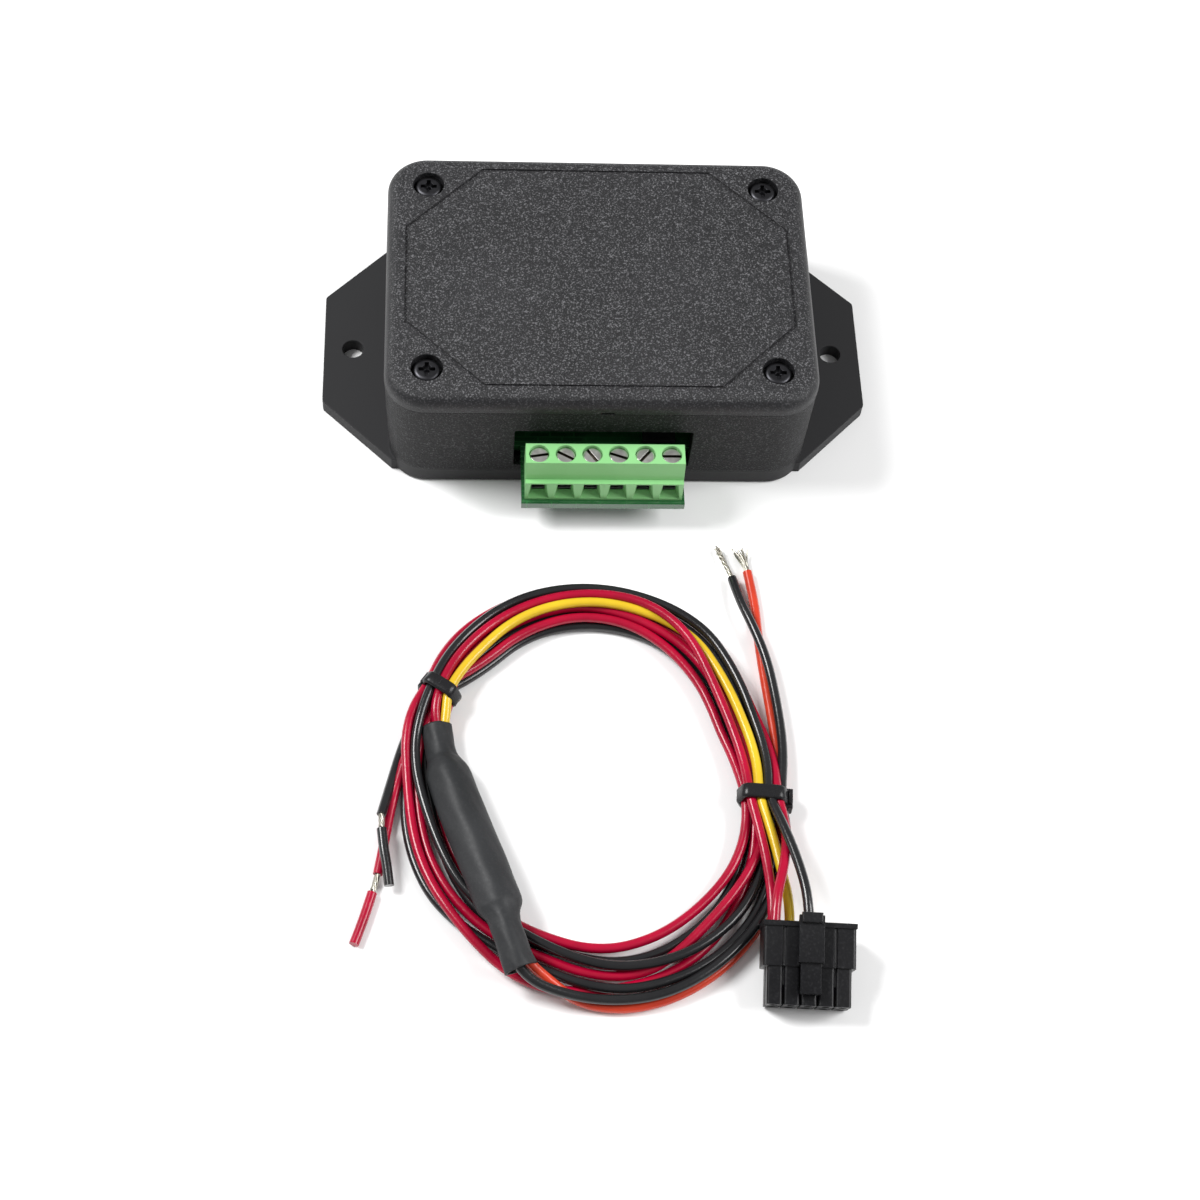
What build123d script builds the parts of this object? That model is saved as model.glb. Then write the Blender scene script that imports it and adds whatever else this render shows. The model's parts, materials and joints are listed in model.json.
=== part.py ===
"""Trailer brake controller unit with its plug-in wiring harness.

A flanged plastic case stands on its underside, centred on the two flange holes.  Its circuit
board reaches out of the front wall and carries a six-way rising-cage screw terminal.  The
harness lies in front of the case: a tied coil of wire, a shrouded in-line joint, a ten-way plug
and four stripped ends.  Millimetres, +Z up, +X to the right, the terminal faces -Y.
"""
import os
from math import cos, pi, radians, sin, tan

from build123d import *

os.makedirs("parts", exist_ok=True)

# ---- case ----
case_length = 82.4  # X, at the floor
case_width = 59.6  # Y, at the floor
case_corner = 7.6
case_height = 27.5
parting_height = 23.6
wall = 2.2
floor_thickness = 2.4
wall_draft = 1.0  # degrees, the tub opens towards the lid
top_round = 2.6

flange_reach = 54.6
flange_half_width = 13.0
flange_thickness = 3.0
flange_diagonal = 14.0  # X and Y run of each sloped ear side
flange_hole_spacing = 97.6
flange_hole_diameter = 4.3

boss_x, boss_y = 33.5, 22.5
boss_radius = 3.6
standoff_x, standoff_y = 24.0, 20.5
standoff_radius = 2.6
bridge_thickness = 1.6  # ribs from the bosses to the walls

cutout_left, cutout_right = -16.7, 17.7
cutout_bottom, cutout_top = 5.9, 17.7

# ---- lid ----
lid_gap = 0.1
lid_plate = 2.2
lip_depth = 1.6
lip_thickness = 1.2
groove_width = 0.6
groove_depth = 0.35
groove_near_corner = (22.8, 26.8)
groove_far_corner = (37.9, 11.8)
counterbore_radius = 3.1
counterbore_depth = 2.4

# ---- lid screws ----
screw_head_radius = 2.7
screw_head_height = 1.9
screw_shank_radius = 1.45
screw_shank_length = 13.0
running_clearance = 0.05

# ---- circuit board and terminal ----
board_bottom = cutout_bottom
board_thickness = 1.6
board_top = board_bottom + board_thickness
board_front = -40.0
way_count = 6
way_pitch = 5.08
terminal_centre = 0.6
terminal_top = 17.5
screw_line = -35.1  # Y of the terminal screws
pin_line = -32.5  # Y of the soldered pins
funnel_face = -39.0
funnel_throat = -37.2
chamber_bottom, chamber_top = 8.0, 14.2
slot_angles = (10, -30, -55, -20, 50, 0)

# ---- harness ----
wire_radius = 0.9
strand_radius = 0.42
plug_origin = (33.9, -125.9, 3.25)  # middle of the wire face's lower edge, propped up by the wires
plug_turn = -3.4  # degrees about Z
plug_tilt = 14.5  # degrees, mating end down
plug_pitch = 3.0
plug_rows = (1.85, 4.95)
plug_columns = [plug_pitch * (i - 2) for i in range(5)]
plug_height = 6.7
shoulder_length, shoulder_half_width = 7.8, 8.1
tube_length = 6.6
latch_pivot_y, latch_pivot_z = -6.8, 8.0
coil_height = 4.4


def save(part, name):
    """Label a finished piece and write it to its own STEP file."""
    part.label = name
    export_step(part, f"parts/{name}.step")


def mirrored_pairs(x, y):
    return [(x, y), (-x, y), (x, -y), (-x, -y)]


def way_x(index):
    return terminal_centre + (index - (way_count - 1) / 2) * way_pitch


# ------------------------------------------------------------------ case
def make_base_shell():
    """Tub with drafted walls, two ear flanges, screw bosses, standoffs and the front cut-out."""
    shoulder_x = flange_reach - flange_diagonal
    shoulder_y = flange_half_width + flange_diagonal
    ear = [
        (flange_reach, -flange_half_width),
        (flange_reach, flange_half_width),
        (shoulder_x, shoulder_y),
        (-shoulder_x, shoulder_y),
        (-flange_reach, flange_half_width),
        (-flange_reach, -flange_half_width),
        (-shoulder_x, -shoulder_y),
        (shoulder_x, -shoulder_y),
    ]
    inner_length = case_length - 2 * wall
    inner_width = case_width - 2 * wall
    rib_top = parting_height - lip_depth - 1.5
    with BuildPart() as shell:
        with BuildSketch():
            RectangleRounded(case_length, case_width, case_corner)
        extrude(amount=parting_height, taper=-wall_draft)
        fillet(shell.faces().sort_by(Axis.Z)[0].edges(), 0.6)
        with BuildSketch():
            with BuildLine():
                Polyline(*ear, close=True)
            make_face()
        extrude(amount=flange_thickness)
        ear_corners = shell.edges().filter_by(Axis.Z)
        outer_corners = [e for e in ear_corners if abs(e.center().X) > flange_reach - 1]
        fillet(outer_corners, 1.2)
        with BuildSketch(Plane.XY.offset(floor_thickness)):
            RectangleRounded(inner_length, inner_width, case_corner - wall)
        extrude(amount=parting_height, taper=-wall_draft, mode=Mode.SUBTRACT)
        with BuildSketch(Plane.XY.offset(floor_thickness)):
            with Locations(*mirrored_pairs(boss_x, boss_y)):
                Circle(boss_radius)
        extrude(amount=parting_height - floor_thickness)
        with BuildSketch(Plane.XY.offset(floor_thickness)):
            for x, y in mirrored_pairs(boss_x, boss_y):
                side = 1 if x > 0 else -1
                end = 1 if y > 0 else -1
                with Locations((x + side * 4.6, y)):
                    Rectangle(3.6, bridge_thickness)
                with Locations((x, y + end * 4.6)):
                    Rectangle(bridge_thickness, 3.4)
        extrude(amount=rib_top - floor_thickness)
        with BuildSketch(Plane.XY.offset(floor_thickness)):
            with Locations(*mirrored_pairs(standoff_x, standoff_y)):
                Circle(standoff_radius)
        extrude(amount=board_bottom - floor_thickness)
        with BuildSketch(Plane.XY.offset(parting_height)):
            with Locations(*mirrored_pairs(boss_x, boss_y)):
                Circle(screw_shank_radius + running_clearance)
        extrude(amount=-screw_shank_length, mode=Mode.SUBTRACT)
        with BuildSketch(Plane.XY.offset(board_bottom)):
            with Locations(*mirrored_pairs(standoff_x, standoff_y)):
                Circle(1.1)
        extrude(amount=-3.0, mode=Mode.SUBTRACT)
        with BuildSketch():
            with Locations((-flange_hole_spacing / 2, 0), (flange_hole_spacing / 2, 0)):
                Circle(flange_hole_diameter / 2)
        extrude(amount=flange_thickness, mode=Mode.SUBTRACT)
        with BuildSketch(Plane.XZ.offset(case_width / 2 - wall - 1)):
            with Locations(((cutout_left + cutout_right) / 2, (cutout_bottom + cutout_top) / 2)):
                RectangleRounded(cutout_right - cutout_left, cutout_top - cutout_bottom, 0.5)
        extrude(amount=6, mode=Mode.SUBTRACT)
    save(shell.part, "base_shell")


def groove_outline():
    (ax, ay), (bx, by) = groove_near_corner, groove_far_corner
    return [(ax, ay), (bx, by), (bx, -by), (ax, -ay), (-ax, -ay), (-bx, -by), (-bx, by), (-ax, ay)]


def make_lid():
    """Rounded cover with a locating lip, screw bosses, counterbores and an eight-sided groove."""
    growth = 2 * parting_height * tan(radians(wall_draft))
    length = case_length + growth + 0.1
    width = case_width + growth + 0.1
    lid_bottom = parting_height + lid_gap
    plate_bottom = case_height - lid_plate
    lip_length = length - 2 * wall - 0.5
    lip_width = width - 2 * wall - 0.5
    seat = case_height - counterbore_depth
    with BuildPart() as lid:
        with BuildSketch(Plane.XY.offset(lid_bottom)):
            RectangleRounded(length, width, 8.0)
        extrude(amount=case_height - lid_bottom, taper=wall_draft)
        fillet(lid.faces().sort_by(Axis.Z)[-1].edges(), top_round)
        with BuildSketch(Plane.XY.offset(lid_bottom)):
            RectangleRounded(lip_length - 2 * lip_thickness, lip_width - 2 * lip_thickness, 5.0)
        extrude(amount=plate_bottom - lid_bottom, mode=Mode.SUBTRACT)
        with BuildSketch(Plane.XY.offset(lid_bottom - lip_depth)):
            RectangleRounded(lip_length, lip_width, 5.9)
            RectangleRounded(lip_length - 2 * lip_thickness, lip_width - 2 * lip_thickness, 5.0,
                             mode=Mode.SUBTRACT)
        extrude(amount=lip_depth)
        with BuildSketch(Plane.XY.offset(lid_bottom)):
            with Locations(*mirrored_pairs(boss_x, boss_y)):
                Circle(4.3)
        extrude(amount=plate_bottom - lid_bottom)
        with BuildSketch(Plane.XY.offset(seat)):
            with Locations(*mirrored_pairs(boss_x, boss_y)):
                Circle(counterbore_radius)
        extrude(amount=counterbore_depth, mode=Mode.SUBTRACT)
        with BuildSketch(Plane.XY.offset(lid_bottom)):
            with Locations(*mirrored_pairs(boss_x, boss_y)):
                Circle(screw_shank_radius + running_clearance)
        extrude(amount=seat - lid_bottom, mode=Mode.SUBTRACT)
        with BuildSketch(Plane.XY.offset(case_height)):
            with BuildLine():
                Polyline(*groove_outline(), close=True)
            make_face()
            offset(amount=-groove_width, kind=Kind.INTERSECTION, mode=Mode.SUBTRACT)
        extrude(amount=-groove_depth, mode=Mode.SUBTRACT)
        with Locations((0.8, -width / 2, lid_bottom)):
            Cylinder(radius=1.3, height=0.8, align=(Align.CENTER, Align.CENTER, Align.CENTER),
                     mode=Mode.SUBTRACT)
    save(lid.part, "lid")


def make_lid_screw(index, x, y):
    """Rounded cross-recess screw standing in its counterbore."""
    seat = case_height - counterbore_depth
    top = seat + screw_head_height
    with BuildPart() as screw:
        with Locations((x, y, seat)):
            Cylinder(screw_head_radius, screw_head_height, align=(Align.CENTER, Align.CENTER, Align.MIN))
        fillet(screw.faces().sort_by(Axis.Z)[-1].edges(), 0.9)
        with Locations((x, y, seat)):
            Cylinder(screw_shank_radius, screw_shank_length - 1.2,
                     align=(Align.CENTER, Align.CENTER, Align.MAX))
        chamfer(screw.faces().sort_by(Axis.Z)[0].edges(), 0.5)
        with Locations((x, y, top)):
            Box(3.2, 0.8, 0.9, align=(Align.CENTER, Align.CENTER, Align.MAX), mode=Mode.SUBTRACT)
            Box(0.8, 3.2, 0.9, align=(Align.CENTER, Align.CENTER, Align.MAX), mode=Mode.SUBTRACT)
            Cone(0.35, 1.0, 1.5, align=(Align.CENTER, Align.CENTER, Align.MAX), mode=Mode.SUBTRACT)
    save(screw.part, f"lid_screw_{index}")


# ------------------------------------------------------------------ circuit board
def make_circuit_board():
    """Board with relieved corners and a tongue that carries the terminal outside the case."""
    tongue_left, tongue_right, tongue_back = -15.3, 16.4, -20
    with BuildPart() as board:
        with BuildSketch(Plane.XY.offset(board_bottom)):
            Rectangle(76.0, 33.0)
            Rectangle(56.0, 53.0)
            with Locations(((tongue_left + tongue_right) / 2, (board_front + tongue_back) / 2)):
                Rectangle(tongue_right - tongue_left, tongue_back - board_front)
            with Locations(*mirrored_pairs(standoff_x, standoff_y)):
                Circle(1.4, mode=Mode.SUBTRACT)
            with Locations(*[(way_x(i), pin_line) for i in range(way_count)]):
                Circle(0.6, mode=Mode.SUBTRACT)
        extrude(amount=board_thickness)
    save(board.part, "circuit_board")


def make_board_screws():
    """Four small pan-head screws that hold the board to its standoffs."""
    with BuildPart() as screws:
        with BuildSketch(Plane.XY.offset(board_top)):
            with Locations(*mirrored_pairs(standoff_x, standoff_y)):
                Circle(2.2)
        extrude(amount=1.5)
        fillet(screws.faces().group_by(Axis.Z)[-1].edges(), 0.6)
        with BuildSketch(Plane.XY.offset(board_top)):
            with Locations(*mirrored_pairs(standoff_x, standoff_y)):
                Circle(1.05)
        extrude(amount=-4.0)
        with BuildSketch(Plane.XY.offset(board_top + 1.5)):
            with Locations(*mirrored_pairs(standoff_x, standoff_y)):
                Rectangle(2.2, 0.5)
                Rectangle(0.5, 2.2)
        extrude(amount=-0.7, mode=Mode.SUBTRACT)
    save(screws.part, "board_screws")


def make_terminal_housing():
    """Six-way block: stepped profile, screw wells, cage chambers and funnelled wire entries."""
    profile = [
        (-30.9, board_top),
        (-30.9, 12.8),
        (-32.8, terminal_top),
        (-37.3, terminal_top),
        (-38.0, 13.0),
        (funnel_face, 13.0),
        (funnel_face, board_top),
    ]
    block_width = way_count * way_pitch
    block_left = terminal_centre - block_width / 2
    with BuildPart() as block:
        with BuildSketch(Plane(origin=(block_left, 0, 0), x_dir=(0, 1, 0), z_dir=(1, 0, 0))):
            with BuildLine():
                Polyline(*profile, close=True)
            make_face()
        extrude(amount=block_width)
        for i in range(way_count):
            x = way_x(i)
            with Locations((x, screw_line, terminal_top)):
                Cylinder(1.95, 2.3, align=(Align.CENTER, Align.CENTER, Align.MAX), mode=Mode.SUBTRACT)
            with Locations((x, screw_line, terminal_top - 2.3)):
                Cylinder(1.35, 2.0, align=(Align.CENTER, Align.CENTER, Align.MAX), mode=Mode.SUBTRACT)
            with Locations((x, -34.7, chamber_bottom)):
                Box(3.8, 5.2, chamber_top - chamber_bottom,
                    align=(Align.CENTER, Align.CENTER, Align.MIN), mode=Mode.SUBTRACT)
            with Locations((x, pin_line, chamber_bottom)):
                Cylinder(0.6, 1.0, mode=Mode.SUBTRACT)
            with BuildSketch(Plane(origin=(x, funnel_face, 0), x_dir=(1, 0, 0), z_dir=(0, -1, 0))):
                with BuildLine():
                    Polyline((-2.0, 8.0), (2.0, 8.0), (1.5, 12.7), (-1.5, 12.7), close=True)
                make_face()
            with BuildSketch(Plane(origin=(x, funnel_throat, 0), x_dir=(1, 0, 0), z_dir=(0, -1, 0))):
                with BuildLine():
                    Polyline((-1.2, 8.7), (1.2, 8.7), (1.2, 11.2), (-1.2, 11.2), close=True)
                make_face()
            loft(mode=Mode.SUBTRACT)
    save(block.part, "terminal_housing")


def make_terminal_screw(index):
    """Slotted clamp screw; its tip bears on the contact tongue."""
    x = way_x(index)
    head_bottom = terminal_top - 2.25
    head_height = 1.65
    with BuildPart() as screw:
        with Locations((x, screw_line, head_bottom)):
            Cylinder(1.87, head_height, align=(Align.CENTER, Align.CENTER, Align.MIN))
        fillet(screw.faces().sort_by(Axis.Z)[-1].edges(), 0.35)
        with Locations((x, screw_line, head_bottom)):
            Cylinder(1.25, head_bottom - 10.9, align=(Align.CENTER, Align.CENTER, Align.MAX))
        with BuildSketch(Plane(origin=(x, screw_line, head_bottom + head_height))):
            Rectangle(4.0, 0.62, rotation=slot_angles[index])
        extrude(amount=-0.8, mode=Mode.SUBTRACT)
    save(screw.part, f"terminal_screw_{index + 1}")


def make_clamp_cage(index):
    """Steel cage that rises on its screw and grips a wire against the contact tongue."""
    x = way_x(index)
    cage_bottom = chamber_bottom + 0.05
    with BuildPart() as cage:
        with Locations((x, screw_line, cage_bottom)):
            Box(3.5, 3.8, 4.1, align=(Align.CENTER, Align.CENTER, Align.MIN))
        fillet(cage.edges().filter_by(Axis.Y), 0.3)
        with Locations((x, screw_line, cage_bottom + 0.6)):
            Box(2.5, 6, 2.4, align=(Align.CENTER, Align.CENTER, Align.MIN), mode=Mode.SUBTRACT)
        with Locations((x, screw_line, cage_bottom + 2)):
            Cylinder(1.25 + running_clearance, 4, align=(Align.CENTER, Align.CENTER, Align.MIN),
                     mode=Mode.SUBTRACT)
    save(cage.part, f"clamp_cage_{index + 1}")


def make_terminal_pins():
    """Six tinned contacts: a tongue inside each cage, a leg and a pin through the board."""
    with BuildPart() as pins:
        for i in range(way_count):
            x = way_x(i)
            with Locations((x, -34.7, 10.3)):
                Box(2.0, 4.8, 0.5, align=(Align.CENTER, Align.CENTER, Align.MIN))
            with Locations((x, pin_line, chamber_bottom + 0.1)):
                Box(1.6, 0.6, 2.4, align=(Align.CENTER, Align.CENTER, Align.MIN))
            with Locations((x, pin_line, 3.8)):
                Cylinder(0.5, 4.5, align=(Align.CENTER, Align.CENTER, Align.MIN))
    save(pins.part, "terminal_pins")


# ------------------------------------------------------------------ board components
def make_flat_parts(name, size, places, round_edge=0.0):
    """A group of rectangular components standing on the board; size is X, Y, height."""
    with BuildPart() as group:
        for x, y, turn in places:
            with Locations(Location((x, y, board_top), (0, 0, turn))):
                Box(*size, align=(Align.CENTER, Align.CENTER, Align.MIN))
        if round_edge:
            fillet(group.faces().group_by(Axis.Z)[-1].edges(), round_edge)
    save(group.part, name)


def make_chip_leads(chip_x, chip_y, chip_size, lead_pitch, leads_per_side):
    """Gull-wing leads on all four sides of the controller chip."""
    reach = chip_size / 2 + 0.45
    with BuildPart() as leads:
        for turn in range(4):
            for i in range(leads_per_side):
                along = (i - (leads_per_side - 1) / 2) * lead_pitch
                angle = radians(90 * turn)
                x = chip_x + reach * cos(angle) - along * sin(angle)
                y = chip_y + reach * sin(angle) + along * cos(angle)
                with Locations(Location((x, y, board_top), (0, 0, 90 * turn))):
                    Box(0.9, 0.35, 0.2, align=(Align.CENTER, Align.CENTER, Align.MIN))
    save(leads.part, "controller_leads")


def make_capacitor_cans(places, radius, height):
    """Surface-mount electrolytic cans on square bases with a scored top."""
    with BuildPart() as cans:
        for x, y in places:
            with Locations((x, y, board_top)):
                Box(2 * radius + 0.4, 2 * radius + 0.4, 1.2,
                    align=(Align.CENTER, Align.CENTER, Align.MIN))
            with Locations((x, y, board_top + 1.2)):
                Cylinder(radius, height - 1.2, align=(Align.CENTER, Align.CENTER, Align.MIN))
        fillet(cans.faces().group_by(Axis.Z)[-1].edges(), 0.6)
    save(cans.part, "electrolytic_capacitors")


def make_board_components():
    """Everything soldered to the board inside the case."""
    chip_x, chip_y, chip_size = -6.0, 4.0, 10.0
    make_flat_parts("controller_chip", (chip_size, chip_size, 1.4), [(chip_x, chip_y, 0)], 0.2)
    make_chip_leads(chip_x, chip_y, chip_size, 0.8, 11)
    transistor_places = [(12.0, -14.0, 0), (26.0, -10.0, 0)]
    make_flat_parts("power_transistors", (10.0, 9.0, 4.4), transistor_places, 0.4)
    tab_places = [(x, y + 5.75, 0) for x, y, turn in transistor_places]
    make_flat_parts("transistor_tabs", (9.6, 2.4, 1.3), tab_places)
    leg_places = [(x + side * 2.54, y - 6.1, 0) for x, y, turn in transistor_places for side in (-1, 1)]
    make_flat_parts("transistor_legs", (0.9, 3.1, 0.6), leg_places)
    make_flat_parts("voltage_regulator", (6.6, 6.2, 2.3), [(-24.0, 10.0, 0)], 0.3)
    make_flat_parts("power_inductor", (10.2, 10.2, 5.0), [(-24.0, -3.0, 0)], 1.2)
    make_capacitor_cans([(27.0, 6.0), (15.5, 12.0)], 4.0, 9.6)
    make_flat_parts("crystal", (10.8, 4.4, 3.6), [(-6.0, 15.0, 0)], 0.8)
    make_flat_parts("protection_diodes", (4.4, 3.6, 2.3), [(-10.0, -19.0, 90), (-3.5, -19.0, 90)], 0.2)
    make_flat_parts("sense_resistor", (6.4, 3.2, 0.9), [(12.0, -24.0, 0)], 0.1)
    chip_columns = [(-14.5 + 2.6 * i, -9.0, 90) for i in range(6)]
    chip_row = [(4.0, -1.0 + 2.6 * i, 0) for i in range(5)]
    make_flat_parts("chip_resistors", (2.0, 1.25, 0.55), chip_columns + chip_row)
    near_regulator = [(-33.0, 4.0 + 2.8 * i, 0) for i in range(4)]
    near_chip = [(-16.0, -0.5 + 2.6 * i, 0) for i in range(4)]
    make_flat_parts("chip_capacitors", (2.0, 1.25, 0.95), near_regulator + near_chip)


# ------------------------------------------------------------------ plug
plug_across = Vector(cos(radians(plug_turn)), sin(radians(plug_turn)), 0)
plug_back = Vector(-plug_across.Y * cos(radians(plug_tilt)), plug_across.X * cos(radians(plug_tilt)),
                   sin(radians(plug_tilt)))
plug_place = Location(Plane(origin=plug_origin, x_dir=plug_across, z_dir=plug_across.cross(plug_back)))


def make_connector_housing():
    """Two rows of five barrels behind a rimmed shoulder with creased cells and a latch pivot bed."""
    with BuildPart() as housing:
        with BuildSketch(Plane.XZ.offset(0.4)):
            with Locations((0, (plug_height + 0.1) / 2)):
                RectangleRounded(2 * shoulder_half_width, plug_height - 0.1, 0.6)
        extrude(amount=shoulder_length - 0.4)
        with Locations((0, -0.45, 0)):
            Box(2 * shoulder_half_width + 0.2, 0.9, plug_height + 0.3,
                align=(Align.CENTER, Align.CENTER, Align.MIN))
        creases = [(x, -shoulder_length - 0.1, z) for x in (-1.5 * plug_pitch, 1.5 * plug_pitch)
                   for z in (0.1, plug_height)]
        with Locations(*[Location(place, (-90, 0, 0)) for place in creases]):
            Cylinder(0.32, shoulder_length - 0.8, align=(Align.CENTER, Align.CENTER, Align.MIN),
                     mode=Mode.SUBTRACT)
        with BuildSketch(Plane.XZ.offset(shoulder_length)):
            with Locations(*[(x, z) for x in plug_columns for z in plug_rows]):
                RectangleRounded(plug_pitch - 0.3, plug_pitch - 0.2, 0.45)
        extrude(amount=tube_length)
        with Locations((0, -shoulder_length - 1.6, (plug_rows[0] + plug_rows[1]) / 2)):
            Box(4 * plug_pitch + 1.6, 3.2, 2 * plug_pitch - 1.0)
        with Locations((0, latch_pivot_y, plug_height)):
            Box(4.2, 1.6, 0.65, align=(Align.CENTER, Align.CENTER, Align.MIN))
        with Locations(*[Location((x, 0, z), (90, 0, 0)) for x in plug_columns for z in plug_rows]):
            Cylinder(1.05, 3.5, align=(Align.CENTER, Align.CENTER, Align.MIN), mode=Mode.SUBTRACT)
            Cylinder(0.75, 17, align=(Align.CENTER, Align.CENTER, Align.MIN), mode=Mode.SUBTRACT)
    save(plug_place * housing.part, "connector_housing")


def make_connector_latch():
    """Rocking latch: lipped thumb pad over the wires, lower front arm with a hook, round pivot rib."""
    half_width, arm_half_width = 2.2, 1.8
    with BuildPart() as latch:
        with Locations((0, -3.2, latch_pivot_z - 0.1)):
            Box(2 * half_width, 8.2, 1.0, align=(Align.CENTER, Align.CENTER, Align.MIN))
        with Locations((0, -9.8, latch_pivot_z - 0.5)):
            Box(2 * arm_half_width, 5.6, 0.8, align=(Align.CENTER, Align.CENTER, Align.MIN))
        with Locations((0, 0.4, latch_pivot_z + 0.6)):
            Box(2 * arm_half_width, 1.8, 1.1, align=(Align.CENTER, Align.CENTER, Align.MIN))
        with Locations((0, -12.1, latch_pivot_z - 0.4)):
            Box(2 * arm_half_width, 1.0, 0.7, align=(Align.CENTER, Align.CENTER, Align.MAX))
        with Locations(Location((0, latch_pivot_y, latch_pivot_z), (0, 90, 0))):
            Cylinder(0.6, 4.2)
        top_edges = latch.faces().sort_by(Axis.Z)[-1].edges()
        fillet(top_edges, 0.25)
    save(plug_place * latch.part, "connector_latch")


def make_contact_sockets():
    """Crimped contacts in the four filled cavities."""
    filled = [(plug_columns[0], plug_rows[0]), (plug_columns[0], plug_rows[1]),
              (plug_columns[1], plug_rows[0]), (plug_columns[2], plug_rows[1])]
    with BuildPart() as contacts:
        with Locations(*[Location((x, -3.6, z), (90, 0, 0)) for x, z in filled]):
            Cylinder(0.68, 9.8, align=(Align.CENTER, Align.CENTER, Align.MIN))
        with Locations(*[Location((x, -13.4, z), (-90, 0, 0)) for x, z in filled]):
            Cylinder(0.4, 5.0, align=(Align.CENTER, Align.CENTER, Align.MIN), mode=Mode.SUBTRACT)
    save(plug_place * contacts.part, "contact_sockets")


# ------------------------------------------------------------------ wires
lead_routes = {
    "plug_lead_red_lower": [(27.77, -127.84, 4.57), (28.09, -122.53, 5.94), (27.7, -114.0, 4.4),
                            (26.7, -104.5, 3.0)],
    "plug_lead_red_upper": [(27.73, -128.62, 7.57), (28.04, -123.3, 8.94), (30.3, -116.0, 6.2),
                            (31.8, -109.0, 3.8), (31.7, -103.0, 1.8)],
    "plug_lead_yellow": [(30.77, -128.02, 4.57), (31.08, -122.71, 5.94), (30.2, -115.8, 3.4),
                         (29.0, -109.5, 2.4), (28.5, -104.0, 2.4)],
    "plug_lead_black": [(33.72, -128.97, 7.57), (34.03, -123.66, 8.94), (32.9, -116.0, 7.8),
                        (31.4, -109.0, 6.2), (30.3, -103.0, 3.5)],
    "feed_lead_black": [(33.0, -100.0, 2.6), (33.7, -91.0, 1.9), (33.5, -81.0, 1.4),
                        (32.4, -71.5, 2.3), (30.3, -64.4, 2.9), (27.8, -58.4, 2.4),
                        (25.3, -53.0, 1.5)],
    "feed_lead_orange": [(31.8, -100.0, 1.6), (32.2, -91.0, 0.95), (31.9, -82.0, 0.95),
                         (30.9, -73.0, 0.95), (30.0, -65.0, 0.95), (29.7, -58.0, 0.95),
                         (28.7, -51.4, 1.2)],
    "tail_lead_black": [(-31.8, -78.4, 3.4), (-34.2, -83.0, 3.6), (-37.0, -89.4, 3.2),
                        (-39.5, -96.6, 2.6), (-41.1, -103.7, 2.9)],
    "tail_lead_red": [(-33.6, -79.6, 1.6), (-36.0, -86.0, 1.2), (-38.4, -93.6, 0.95),
                      (-39.7, -101.0, 0.95), (-40.5, -108.0, 0.95), (-41.6, -114.5, 0.95)],
}


def corner_radii(points):
    """The largest arc each corner allows: 0.45 of the shorter run over the tangent of half the turn."""
    radii = []
    for before, corner, after in zip(points, points[1:], points[2:]):
        run_in = Vector(*corner) - Vector(*before)
        run_out = Vector(*after) - Vector(*corner)
        half_turn = radians(run_in.get_angle(run_out)) / 2
        radii.append(0.45 * min(run_in.length, run_out.length) / tan(half_turn))
    return radii


def make_lead(name, points):
    """One insulated wire along straight runs joined by tangent arcs."""
    radii = corner_radii(points)
    with BuildPart() as lead:
        with BuildLine() as route:
            FilletPolyline(*points, radius=radii)
        with BuildSketch(Plane(origin=route.line @ 0, z_dir=route.line % 0)):
            Circle(wire_radius)
        sweep()
    length = route.wires()[0].length
    ratio = lead.part.volume / (pi * wire_radius**2 * length)
    print(name, "length", round(length, 1), "radii", [round(r, 1) for r in radii],
          "volume over section times length", round(ratio, 4))
    save(lead.part, name)


def make_rods(name, ends, radius):
    """Straight round pieces, each given by its two end points."""
    with BuildPart() as rods:
        for start, end in ends:
            along = Vector(*end) - Vector(*start)
            with BuildSketch(Plane(origin=start, z_dir=along)):
                Circle(radius)
            extrude(amount=along.length)
    save(rods.part, name)


def make_wire_coil():
    """The tied bundle as one solid ring: the outside of its turns."""
    with BuildPart() as coil:
        with BuildSketch():
            with Locations((-2.3, -97.9)):
                Ellipse(36.1, 43.1)
            with Locations((-3.3, -97.6)):
                Ellipse(27.8, 28.6, mode=Mode.SUBTRACT)
        extrude(amount=coil_height)
        fillet(coil.faces().sort_by(Axis.Z)[-1].edges(), 1.2)
    save(coil.part, "wire_coil")


def make_sleeve():
    """Heat-shrunk sleeve, wide over the in-line joint and narrow at both ends."""
    sections = [
        ((-31.0, -86.2, 3.0), 2.4),
        ((-30.3, -92.5, 3.1), 2.6),
        ((-28.6, -97.5, 3.7), 3.5),
        ((-23.2, -114.5, 5.6), 3.5),
        ((-20.8, -121.5, 7.4), 3.3),
        ((-19.9, -124.6, 7.5), 2.5),
        ((-17.6, -133.4, 7.0), 2.4),
    ]
    centres = [Vector(*place) for place, radius in sections]
    with BuildPart() as sleeve:
        for i, (centre, (place, radius)) in enumerate(zip(centres, sections)):
            along = centres[min(i + 1, len(centres) - 1)] - centres[max(i - 1, 0)]
            with BuildSketch(Plane(origin=place, x_dir=(0, 0, 1), z_dir=along)):
                Circle(radius)
        loft(ruled=True)
        joint_start, joint_end = centres[2], centres[3]
        along = (joint_end - joint_start).normalized()
        with BuildSketch(Plane(origin=joint_start + along * 3, z_dir=along)):
            Circle(2.1)
        extrude(amount=12.2, mode=Mode.SUBTRACT)
    save(sleeve.part, "heat_shrink_sleeve")
    start = joint_start + along * 3.1
    end = joint_start + along * 15.1
    make_rods("inline_fuse", [(tuple(start), tuple(end))], 2.0)


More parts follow.
